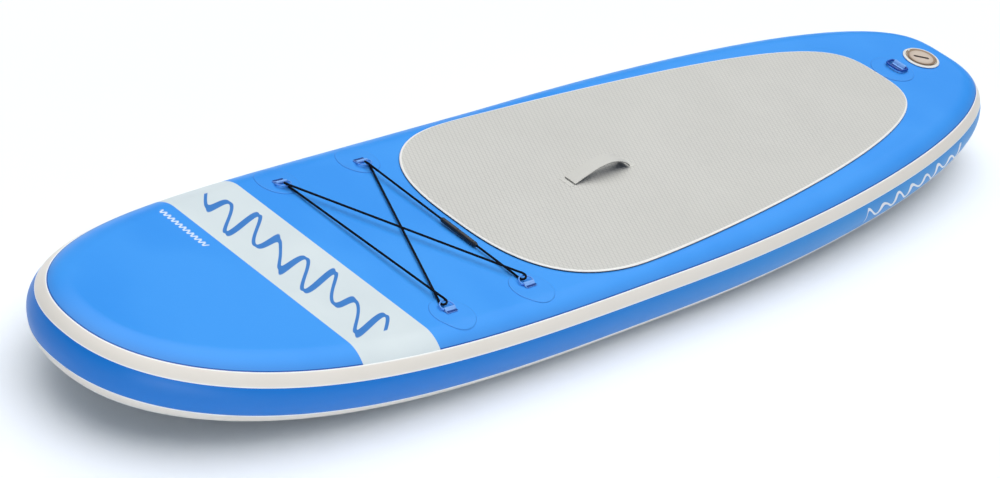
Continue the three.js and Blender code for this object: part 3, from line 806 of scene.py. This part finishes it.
def hull():
    deck_angles = [SHOULDER - 1.5, SHOULDER, SHOULDER + 1.2, SHOULDER + 2.2,
                   *np.linspace(SHOULDER + 4, 90, 14)]
    deck = crossing("deck_cover", deck_angles, DECK, 30)
    belly = crossing("hull_cover", [-a for a in np.linspace(-BILGE - 1.5, 90, 14)], HULL)
    wall_angles = list(np.linspace(WALL_BOTTOM - 1, WALL_TOP + 1, 14))
    rise = [(rail_point(0.5, 1, a, 0)[2] - HALF) * MM for a in wall_angles]
    wall = band("side_cover", wall_angles, [0] * 14, WALL, "rail", rise)
    upper = tape("upper_tape", WALL_TOP, SHOULDER)
    lower = tape("lower_tape", BILGE, WALL_BOTTOM)
    settle(deck, "hull", "deck_pvc", "deck_skin")
    settle(belly, "hull", "white_pvc", "hull_skin")
    settle(wall, "hull", "wall_pvc", "side_wall")
    settle(upper, "hull", "white_pvc", "upper_rail_tape")
    settle(lower, "hull", "white_pvc", "lower_rail_tape")
    valve_hole = [(0, -20), (26.3, -20), (26.3, 20), (0, 20)]
    difference(deck, lathed("cutter", valve_hole, DECK, on_deck(0, VALVE_Y)))


# ---- traction pad
def pad_half_width(y):
    front, back = (PAD_FRONT, *PAD_FRONT_POWERS), (PAD_BACK, *PAD_BACK_POWERS)
    return bowed(y, PAD_HALF, front, PAD_WIDEST, back)


def traction_pad():
    """Rings of the pad's outline, from the middle of its underside over the bevel to its top."""
    middle, reach = (PAD_FRONT + PAD_BACK) / 2, (PAD_BACK - PAD_FRONT) / 2
    steps = 240
    stations = [middle - reach * cos(pi * k / steps) for k in range(steps + 1)]
    port = [(pad_half_width(y), y) for y in stations]
    loop = np.array(port + [(-x, y) for x, y in reversed(port[1:-1])])
    ahead = np.roll(loop, -1, 0) - np.roll(loop, 1, 0)
    normal = unit(np.c_[ahead[:, 1], -ahead[:, 0]])
    spine = np.clip(loop[:, 1], PAD_FRONT + 60, PAD_BACK - 60)
    rings, tops, below = [], [], []

    def lay(edge, share, height, top, dark):
        """Add a ring: an edge drawn in towards the spine, with its shares of the top's look and of
        the painted edge shadow.
        """
        ring = [(x * (1 - share), y + (middle_y - y) * share)
                for (x, y), middle_y in zip(edge, spine)]
        rings.extend((x, y, deck_height(x, y) + PAD_LIFT + height) for x, y in ring)
        tops.append(top)
        below.append(dark)

    for share in (1.0, 0.7, 0.3):
        lay(loop, share, 0, 0, 1)
    bevel = 5.5
    # inset, height, share of the top's look, share of the painted edge shadow
    profile = [(0.4, 0, 0, 1), (0.0, 0.4, 0, 1), (0.0, 2.6, 0, 1), (0.2, 2.9, 0, 0),
               (1.2, 3.9, 0, 0), (2.8, 4.7, 0, 0), (4.2, 5.0, 0.25, 0), (bevel, 5.0, 1, 0)]
    for inset, height, top, dark in profile:
        lay(loop - normal * inset, 0, height, top, dark)
    for share in (0.12, 0.3, 0.5, 0.7, 0.88, 1.0):
        lay(loop - normal * bevel, share, PAD_THICKNESS, 1, 0)
    count = len(loop)
    faces = grid_faces(len(tops), count)
    stored = (("top", np.repeat(tops, count)), ("edge_shadow", np.repeat(below, count)))
    piece = closed("pad", rings, faces, PAD, 50, stored)
    settle(piece, "hull", "pad_foam", "deck_pad")


# ---- ring anchors
def disc_patch(name, x, y, radius):
    """A welded round patch with a pressed edge, lying on the deck's curve."""
    segments = 96
    profile = [(0.0, 1.2), (radius * 0.3, 1.2), (radius * 0.6, 1.2), (radius * 0.85, 1.2),
               (radius - 2.4, 1.2), (radius - 1.2, 1.15), (radius - 0.4, 0.8), (radius, 0.2),
               (radius - 0.2, 0.0), (radius * 0.5, 0.0), (0.0, 0.0)]
    vertices = [(x + px, y + py, deck_height(x + px, y + py) + PATCH_LIFT * 0.3 + z * 1.2)
                for px, py, z in spun(profile, segments)]
    faces = grid_faces(len(profile), segments)
    # the pressed edge takes more of the painted shoulder sheen than the middle
    tone = [0.10 if r < radius - 2 else 0.55 for r, _ in profile]
    stored = (("shoulder_sheen", np.repeat(tone, segments)),)
    piece = closed("patch_" + name, vertices, faces, DECK, 40, stored)
    settle(piece, "hull", "deck_pvc", "ring_patch_" + name)


def strap_section(width, thickness, columns, edge, crown=0.0):
    """Points (across, height) round a strap; edge holds how far its two outer rows swell."""
    half = width / 2
    across = [-half, -half + 0.5, *np.linspace(-half + 2, half - 2, columns), half - 0.5, half]
    swell = [*edge, *[1.0] * columns, *reversed(edge)]
    face = [(x, thickness / 2 * s, crown * (1 - (x / half) ** 2) - crown / 2)
            for x, s in zip(across, swell)]
    return [(x, up + lift) for x, up, lift in face] + [(x, lift - up) for x, up, lift in face[::-1]]


def webbing_sleeve(name, site, width, tail, rod, wall):
    """Webbing that comes up from the patch, round the ring's bar and back down onto itself."""
    inner = rod + SLEEVE_PLAY
    outer = inner + wall
    centre = inner + wall / 2
    low = -outer + wall / 2
    path = [(-tail + (tail - 1) * k / 6, low) for k in range(7)]
    path += [(centre * cos(a), centre * sin(a)) for a in np.linspace(-pi / 2, pi * 0.80, 18)]
    end = path[-1]
    path += [(end[0] - 1.8, end[1] - 1.4), (-outer - 2.5, low + wall * 1.05),
             (-outer - 6, low + wall), (-tail + 2, low + wall)]
    line = np.array(path)
    ahead = unit(np.gradient(line, axis=0))
    normal = np.c_[-ahead[:, 1], ahead[:, 0]]
    run = run_along(line)
    section = strap_section(width, wall - 0.12, 9, (0.35, 0.85))
    sections, along = [], []
    for k, (px, pz) in enumerate(line):
        ring = [(px + normal[k, 0] * height, x, pz + normal[k, 1] * height) for x, height in section]
        sections.append(placed(ring, site))
        along += [run[k] * MM] * len(section)
    sideways = [x * MM for x, _ in section] * len(line)
    stored = (("along", along), ("across", sideways))
    piece = lofted("sleeve_" + name, sections, BLUE_WEBBING, stored=stored)
    settle(piece, "hull", "blue_webbing", "webbing_loop_" + name)


def d_ring(name, site, bar, reach, rod, tilt, bow, body, material):
    """A ring of round rod: a half ellipse at bow 1, nearer to a rectangle as bow falls."""
    half = bar / 2
    corner = 4.0
    near = [(corner - corner * cos(a), half - corner + corner * sin(a))
            for a in np.linspace(0, pi / 2, 7)]
    far = [(6 + (reach - 6) * sin(a) ** bow, copysign(half * abs(cos(a)) ** bow, cos(a)))
           for a in np.linspace(0.12, pi - 0.12, 35)]
    path = [*near, *far, *[(x, -y) for x, y in near[::-1]]]
    turned = site @ Matrix.Rotation(-radians(tilt), 4, "Y")
    loop = evened(np.array([(x, y, 0.0) for x, y in path[-1:] + path]), 140, endpoint=False)
    piece = tube("ring_" + name, loop, rod, material, 18, closed_path=True, site=turned)
    settle(piece, body, "blue_plastic", "d_ring_" + name)


ANCHORS = (("front_starboard", -1, ANCHOR_FRONT_Y), ("front_port", 1, ANCHOR_FRONT_Y),
           ("rear_starboard", -1, ANCHOR_REAR_Y), ("rear_port", 1, ANCHOR_REAR_Y))


def bar_height(rod, wall):
    return PATCH_LIFT + PATCH_THICKNESS + GAP + rod + SLEEVE_PLAY + wall


def sewn(name, threads, site, material):
    """One piece of many short threads, each a row of four-sided sections."""
    vertices, faces = [], []
    for rows in threads:
        base, last = len(vertices), 4 * len(rows) - 4
        vertices += [p for row in rows for p in row]
        ends = [tuple(range(4)), tuple(range(last, last + 4))]
        faces += [tuple(base + k for k in face) for face in grid_faces(len(rows), 4) + ends]
    return outwards(make(name, placed(vertices, site), faces, material))


def stitched_box(name, site, z, size):
    """A row of stitches round a rectangle on a strap, as short raised threads."""
    pitch = 3.2
    x, y = size[0] / 2, size[1] / 2
    corners = [(-x, -y), (x, -y), (x, y), (-x, y)]
    threads = []
    for a, b in zip(corners, corners[1:] + corners[:1]):
        a, b = np.array(a), np.array(b)
        length = norm(b - a)
        ahead = (b - a) / length
        side = np.array((-ahead[1], ahead[0])) * 0.45
        for k in range(int(length / pitch)):
            start = a + ahead * (k + 0.15) * pitch
            thread = []
            for t, swell in ((0, 0.3), (0.2, 0.9), (0.5, 1.0), (0.8, 0.9), (1.0, 0.3)):
                c = start + ahead * t * pitch * 0.7
                thread.append([(*(c + side * out * swell), z + up * swell)
                               for out, up in ((-1, 0), (-0.6, 0.36), (0.6, 0.36), (1, 0))])
            threads.append(thread)
    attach(sewn(name, threads, site, WHITE_PLASTIC), "hull")


def ring_anchors():
    for name, side, y in ANCHORS:
        turn = pi if side > 0 else 0.0
        site = on_deck(side * ANCHOR_X, y, turn, bar_height(RING_ROD, LOOP_WALL))
        disc_patch(name, side * ANCHOR_PATCH_X, y, PATCH_RADIUS)
        webbing_sleeve(name, site, LOOP_WIDTH, LOOP_TAIL, RING_ROD, LOOP_WALL)
        d_ring(name, site, RING_BAR, RING_REACH, RING_ROD, RING_TILT, 1,
               "ring_" + name, BLUE_PLASTIC)
        bar_tack(name, site, -9.4, -0.7, 5.6, 29)
    site = on_deck(0, TAIL_ANCHOR_Y, -pi / 2, bar_height(TAIL_ROD, TAIL_LOOP_WALL))
    disc_patch("tail", 0, TAIL_PATCH_Y, TAIL_PATCH_RADIUS)
    turned = site @ Matrix.Rotation(pi, 4, "Z")
    webbing_sleeve("tail", turned, 36, 18, TAIL_ROD, TAIL_LOOP_WALL)
    d_ring("tail", site, 50, 34, TAIL_ROD, 3, 0.45, "tail_ring", DARK_BLUE_PLASTIC)
    bar_tack("tail", turned, -16.2, -1.7, 3.0, 35)


def bar_tack(name, site, x, z, width, length):
    """Dense zigzag stitches across the end of a strap, in a dark thread painted to stand in for the
    shadow gap there.
    """
    pitch = 1.1
    threads = []
    for k in range(int(length / pitch) + 1):
        y = -length / 2 + k * pitch
        lean = pitch / 2 * (-1) ** k
        points = [(x - width / 2, y - lean, z), (x, y, z + 0.5), (x + width / 2, y + lean, z)]
        threads.append([[(px, py + dy, pz + dz)
                         for dy, dz in ((-0.5, 0), (0, 0.45), (0.5, 0), (0, -0.45))]
                        for px, py, pz in points])
    settle(sewn("stitch_" + name, threads, site, SHADOW_DARK_THREAD), "hull", "blue_webbing")


# ---- bungee
def bungee():
    """One lacing in four pieces, each round one ring and halfway to its neighbours."""
    lean = radians(RING_TILT)
    bow_x = ANCHOR_X - RING_REACH * cos(lean)
    bow_z = bar_height(RING_ROD, LOOP_WALL) + RING_REACH * sin(lean)

    def strand(side, y, level, offset):
        return side, y + offset * CORD_SPREAD, bow_z + level * CORD_DROP

    def place(end, reach=0, lift=0):
        side, y, level = end
        return np.array((side * (bow_x + reach), y, THICKNESS + rocker(y) + level + lift))

    spans = [(strand(-1, ANCHOR_FRONT_Y, -1, 1), strand(1, ANCHOR_FRONT_Y, 1, 1)),
             (strand(1, ANCHOR_FRONT_Y, -1, -1), strand(-1, ANCHOR_REAR_Y, -1, 1)),
             (strand(-1, ANCHOR_REAR_Y, 1, -1), strand(1, ANCHOR_REAR_Y, -1, -1)),
             (strand(1, ANCHOR_REAR_Y, 1, 1), strand(-1, ANCHOR_FRONT_Y, 1, -1))]
    def from_middle(span, end):
        """From the middle of a span to one of its ends and into that ring."""
        here, middle = place(end), (place(span[0]) + place(span[1])) / 2
        inside = place(end, 7, copysign(1.2, bow_z - end[2]))
        return [middle, (here + middle) / 2, here + (middle - here) * 0.06, here, inside]

    for k, (name, side, y) in enumerate(ANCHORS):
        arriving, leaving = spans[k - 1], spans[k]
        turn = place((side, y, bow_z), CORD_TURN)
        route = [*from_middle(arriving, arriving[1]), turn,
                 *from_middle(leaving, leaving[0])[::-1]]
        piece = tube("cord_" + name, smooth_line(route, 150), CORD_RADIUS, CORD, 14)
        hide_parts("bungee_" + name)
        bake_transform(piece)
    cord_splice(*(place(end) for end in spans[2]))


def cord_splice(first, last):
    """The crimped sleeve over the cord's joined ends, on its run from first to last."""
    along = (last - first) / norm(last - first)
    centre = first + (last - first) * SPLICE_ALONG
    turned = Vector((0, 0, 1)).rotation_difference(Vector(along)).to_matrix().to_4x4()
    site = Matrix.Translation(centre) @ turned
    end = SPLICE_HALF
    profile = [(2.75, -end), (3.4, -end), (4.2, 1.2 - end), (4.8, 3.5 - end)]
    for z in (6 - end, 12 - end, -4, 4, end - 12, end - 6):
        profile += [(5.8, z - 1.6), (5.1, z - 0.7), (5.1, z + 0.7), (5.8, z + 1.6)]
    profile += [(4.8, end - 3.5), (4.2, end - 1.2), (3.4, end), (2.75, end)]
    piece = lathed("cord_splice", profile, BLACK_PLASTIC, site, 32)
    settle(piece, "hull", "black_plastic", "bungee_splice")


# ---- carry handle
def handle_point(t):
    y = HANDLE_FRONT + (HANDLE_BACK - HANDLE_FRONT) * t
    arch = sin(pi * t ** ARCH_LEAN) ** ARCH_ROUND if 0 < t < 1 else 0.0
    foot = THICKNESS + rocker(y) + PAD_LIFT + PAD_THICKNESS + GAP + HANDLE_THICKNESS / 2
    return np.array((y, foot + HANDLE_RISE * arch))


def strap(name, start, end, steps, node):
    """A stretch of the handle's doubled webbing, slightly crowned across its width."""
    section = strap_section(HANDLE_WIDTH, HANDLE_THICKNESS, 11, (0.4, 0.88), 0.9)
    upper = len(section) // 2
    sections, along, under = [], [], []
    for k in range(steps + 1):
        t = start + (end - start) * k / steps
        centre = handle_point(t)
        ahead = handle_point(min(t + 0.006, 1)) - handle_point(max(t - 0.006, 0))
        ahead /= norm(ahead)
        up = np.array((-ahead[1], ahead[0]))
        sections.append([(x, *(centre + up * height)) for x, height in section])
        along += [centre[0] * MM] * len(section)
        # the underside rows between the ends take the painted shade
        under += [False] * upper + [0 < k < steps] * upper
    sideways = [x * MM for x, _ in section] * (steps + 1)
    stored = (("along", along), ("across", sideways), ("under", under))
    piece = lofted(name, sections, BEIGE_WEBBING, stored=stored)
    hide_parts(node)
    return piece


def carry_handle():
    front = strap("strap_front", 0.012, HANDLE_LEGS, 16, "handle_front_leg")
    grip = strap("strap_grip", HANDLE_LEGS, 1 - HANDLE_LEGS, 32, "handle_grip")
    rear = strap("strap_rear", 1 - HANDLE_LEGS, 0.988, 16, "handle_rear_leg")

    def at(t):
        y, z = handle_point(t)
        return 0, y * MM, z * MM

    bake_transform(front)
    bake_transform(rear)
    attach(grip, "handle")
    reach = HANDLE_TAB_LENGTH / 2 + GAP
    anchor_tab("front", HANDLE_FRONT - reach)
    anchor_tab("rear", HANDLE_BACK + reach)


def anchor_tab(name, y):
    """The sewn end of the strap, sunk into the pad, with its box stitch."""
    site = on_deck(0, y)
    half_x, half_y = 19, HANDLE_TAB_LENGTH / 2
    rows = []
    for inset, z in ((0, 0.8), (0, 5.4), (0.5, 6.3), (1.4, 6.6)):
        x, y = half_x - inset, half_y - inset
        corners = np.array([(x, y, z), (-x, y, z), (-x, -y, z), (x, -y, z)])
        row = [a + (b - a) * k / 6
               for a, b in zip(corners, np.roll(corners, -1, 0)) for k in range(6)]
        rows.append(placed(row, site))
    sideways, along, _ = np.concatenate(rows).T * MM
    stored = (("along", along), ("across", sideways))
    piece = lofted("tab_" + name, rows, BEIGE_WEBBING, stored=stored)
    settle(piece, "hull", "beige_webbing", "handle_tab_" + name)
    stitched_box("tab_stitch_" + name, site, 6.6, (31, 10))


# ---- inflation valve
def inflation_valve():
    site = on_deck(0, VALVE_Y)
    valve_body(site)
    valve_stem(site)
    valve_cap(site)
    cap_tether(site)


def valve_body(site):
    """The flanged body, notched for the tether, with the spider that guides the stem."""
    shell = [(23.4, -16), (26, -16), (26, 1.5), (48.6, 1.5), *arc(48.2, 2.3, 0.8, -60, 60, 5),
             (47.4, 3.4), *arc(44.6, 3.6, 1.6, 50, 130, 7), (41.5, 4.9), (40.2, 4.6), (39.5, 4.0),
             (39.4, 2.4), (24.4, 2.4), (23.4, 1.6)]
    body = lathed("valve_shell", shell, FLANGE_PLASTIC, site, 96)
    notch = boxed("notch", (-62, -38), (-4.8, 4.8), (2, 9), site)
    creased(difference(body, notch), LATHE_CREASE)
    local, radius = from_site(body, site)
    # painted shadow: the groove between flange and cap dark brown
    store(body, "groove", np.clip((43.4 - radius) / 1.2, 0, 1) * (local[:, 2] > 3.5))
    settle(body, "hull", "white_plastic", "valve_body")
    hub = lathed("valve_hub", [(3.4, -16), (6.5, -16), (6.5, -13.4), (6.1, -13), (3.4, -13)],
                 WHITE_PLASTIC, site, 40)
    seat = lathed("valve_seat", [(15, -16), (23.8, -16), (23.8, -13), (15.6, -13), (15, -13.6)],
                  WHITE_PLASTIC, site, 64)
    spokes = [boxed("valve_spoke", (6.3, 15.4), (-1.2, 1.2), (-16, -13), turned)
              for turned in around(site, 6)]
    for piece in (hub, seat, joined("valve_spokes", spokes)):
        settle(piece, "hull", "white_plastic")


def valve_stem(site):
    """The button on its stem, the seal at its foot and the spring round it."""
    button = [(0, -23), (16.6, -23), *arc(16.4, -22.4, 0.6, -60, 60, 4), (16.6, -20.5), (3, -20.5),
              (3, -4), (7.6, -4), *arc(7.3, -3.4, 0.7, -50, 50, 4), *arc(6.2, -2.2, 0.8, 20, 90, 4),
              (3.0, -1.5), (0, -1.7)]
    settle(lathed("valve_button", button, BLACK_PLASTIC, site, 48),
           "valve_stem", "black_plastic", "valve_plunger")
    seal = [(3.3, -20.2), (17.8, -20.2), *arc(17.6, -19.4, 0.8, -60, 60, 4), (17.4, -17.4),
            (16, -16.3), (3.3, -16.3)]
    settle(lathed("valve_washer", seal, GREY_RUBBER, site, 48),
           "valve_stem_seal", "grey_rubber", "valve_seal")
    turns = 3.5
    coil = [(5.2 * cos(a), 5.2 * sin(a), -12.1 + 7.2 * a / (TURN * turns))
            for a in np.linspace(0, TURN * turns, 140)]
    spring = tube("valve_coil", coil, 0.6, STEEL, 10, site=site)
    settle(spring, "hull", "spring_steel", "valve_spring")
    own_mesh(spring)


def valve_cap(site):
    """The dished cap with its grip slot, its sealing ring and the ribs round its rim."""
    dish = [(0, -0.4), (20.4, -0.4), (20.8, 0.0), (20.8, 0.2), (19.6, 0.2), (19.6, 1.6),
            (22.2, 1.6), (22.2, 2.3), (21, 2.3), (21, 4.2), (37.6, 4.2), (38, 4.5), (38, 5.0),
            *arc(36.6, 5.1, 1.3, 0, 90), (35.2, 6.3), (34.0, 6.0), (33.0, 5.5), (31.0, 5.3),
            (22, 5.1), (12, 5.25), (0, 5.4)]
    cap = lathed("cap_dish", dish, CAP_PLASTIC, site, 96)
    turned = site @ Matrix.Rotation(radians(CAP_SLOT_TURN), 4, "Z")
    slot = boxed("slot", (-16.6, 16.6), (-4.5, 4.5), (SLOT_FLOOR, 9), turned, round_ends=True)
    creased(difference(cap, slot), LATHE_CREASE)
    local, radius = from_site(cap, site)
    # painted shade: the cap's outer band darker, running into the flange groove's painted shadow
    store(cap, "rim", np.clip((radius - 30.5) / 2, 0, 1))
    # painted shadow: the floor of the grip slot dark brown
    store(cap, "slot", (radius < 26) & (abs(local[:, 2] - SLOT_FLOOR) < 0.1))
    settle(cap, "cap", "beige_plastic", "valve_cap")
    ring = arc(20.6, 0.9, 0.6, 0, 360, 13)[:-1]
    settle(lathed("cap_seal_ring", ring, GREY_RUBBER, site, 60),
           "cap", "grey_rubber", "cap_o_ring")
    ribs = [boxed("cap_rib", (33.4, 35.0), (-0.5, 0.5), (5.6, 6.55), turned, BROWN_PLASTIC)
            for turned in around(site, 40)]
    settle(joined("cap_ribs", ribs), "cap", "beige_plastic")


def cap_tether(site):
    """The collar round the cap, with its arm and the barrel that it hinges on."""
    collar = [(21.4, 2.7), (35.7, 2.7), (36, 3.0), (36, 3.6), (35.7, 3.9), (21.4, 3.9)]
    settle(lathed("tether_collar", collar, WHITE_PLASTIC, site),
           "cap_tether_arm", "white_plastic", "cap_tether")
    arm = boxed("tether_arm", (-44.5, -34.5), (-4.5, 4.5), (2.72, 3.88), site)
    pin = tube("tether_barrel", [(-44.5, -4.5 + 9 * k / 6, 3.5) for k in range(7)], 1.2,
               WHITE_PLASTIC, 20, site=site)
    for piece in (arm, pin):
        settle(piece, "cap_tether_arm", "white_plastic")


# ---- carried-over CAD nodes
def carried_over():
    for node, material in (("drop_stitch_core", CORE), ("valve_gasket", GREY_RUBBER),
                           ("valve_clamp_nut", BLACK_PLASTIC), ("fin_base_patch", HULL),
                           ("fin_box", BLACK_PLASTIC), ("fin_lock_key", BLUE_PLASTIC)):
        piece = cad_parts[node]
        piece.data.materials.clear()
        piece.data.materials.append(material)


# ---- floor and light
def sky_dome():
    """A soft light tent: bright overhead, dim and bluish at the horizon, white where it is seen."""
    world = bpy.data.worlds.new("studio")
    world.use_nodes = True
    sky = Nodes(world.node_tree)
    facing = sky.new("ShaderNodeVectorMath", operation="DOT_PRODUCT")
    sky.fed(facing, sky.node("ShaderNodeTexCoord", out="Generated"),
            Vector((-0.14, 0.12, 0.98)).normalized())
    rise = sky.step(facing.outputs["Value"], 0.6, 0.92)
    glow = sky.mix(rise, (0.02, 0.05, 0.11, 1.0), (2.62, 2.63, 2.64, 1.0))
    seen = sky.node("ShaderNodeLightPath", out="Is Camera Ray")
    sky.set(sky.tree.nodes["Background"], "Color", sky.mix(seen, glow, (1.0, 1.0, 1.0, 1.0)))
    bpy.context.scene.world = world


def studio():
    corners = [(-14, -14, 0), (14, -14, 0), (14, 14, 0), (-14, 14, 0)]
    floor = bpy.data.meshes.new("floor")
    floor.from_pydata(corners, [], [(0, 1, 2, 3)])
    look = Look("floor", 0.9)
    look.color(look.mottle(1.5, 2.0, rgb(244, 248, 253), rgb(246, 250, 254)))
    floor.materials.append(look.material)
    ground = linked("floor", floor)
    ground.location.z = -0.0005

    sky_dome()

    data = bpy.data.lights.new("near_side", "AREA")
    data.shape = "RECTANGLE"
    data.size, data.size_y = 4.0, 1.0
    data.energy = 80
    data.color = (1.0, 0.99, 0.98)
    lamp = linked("near_side", data)
    lamp.location = (5.0, -3.4, 0.7)
    aim = Vector((0, 0, 0.1)) - lamp.location
    lamp.rotation_euler = aim.to_track_quat("-Z", "Y").to_euler()
    bpy.context.scene.view_settings.view_transform = "Standard"


hull()
traction_pad()
ring_anchors()
bungee()
carry_handle()
inflation_valve()
carried_over()
studio()
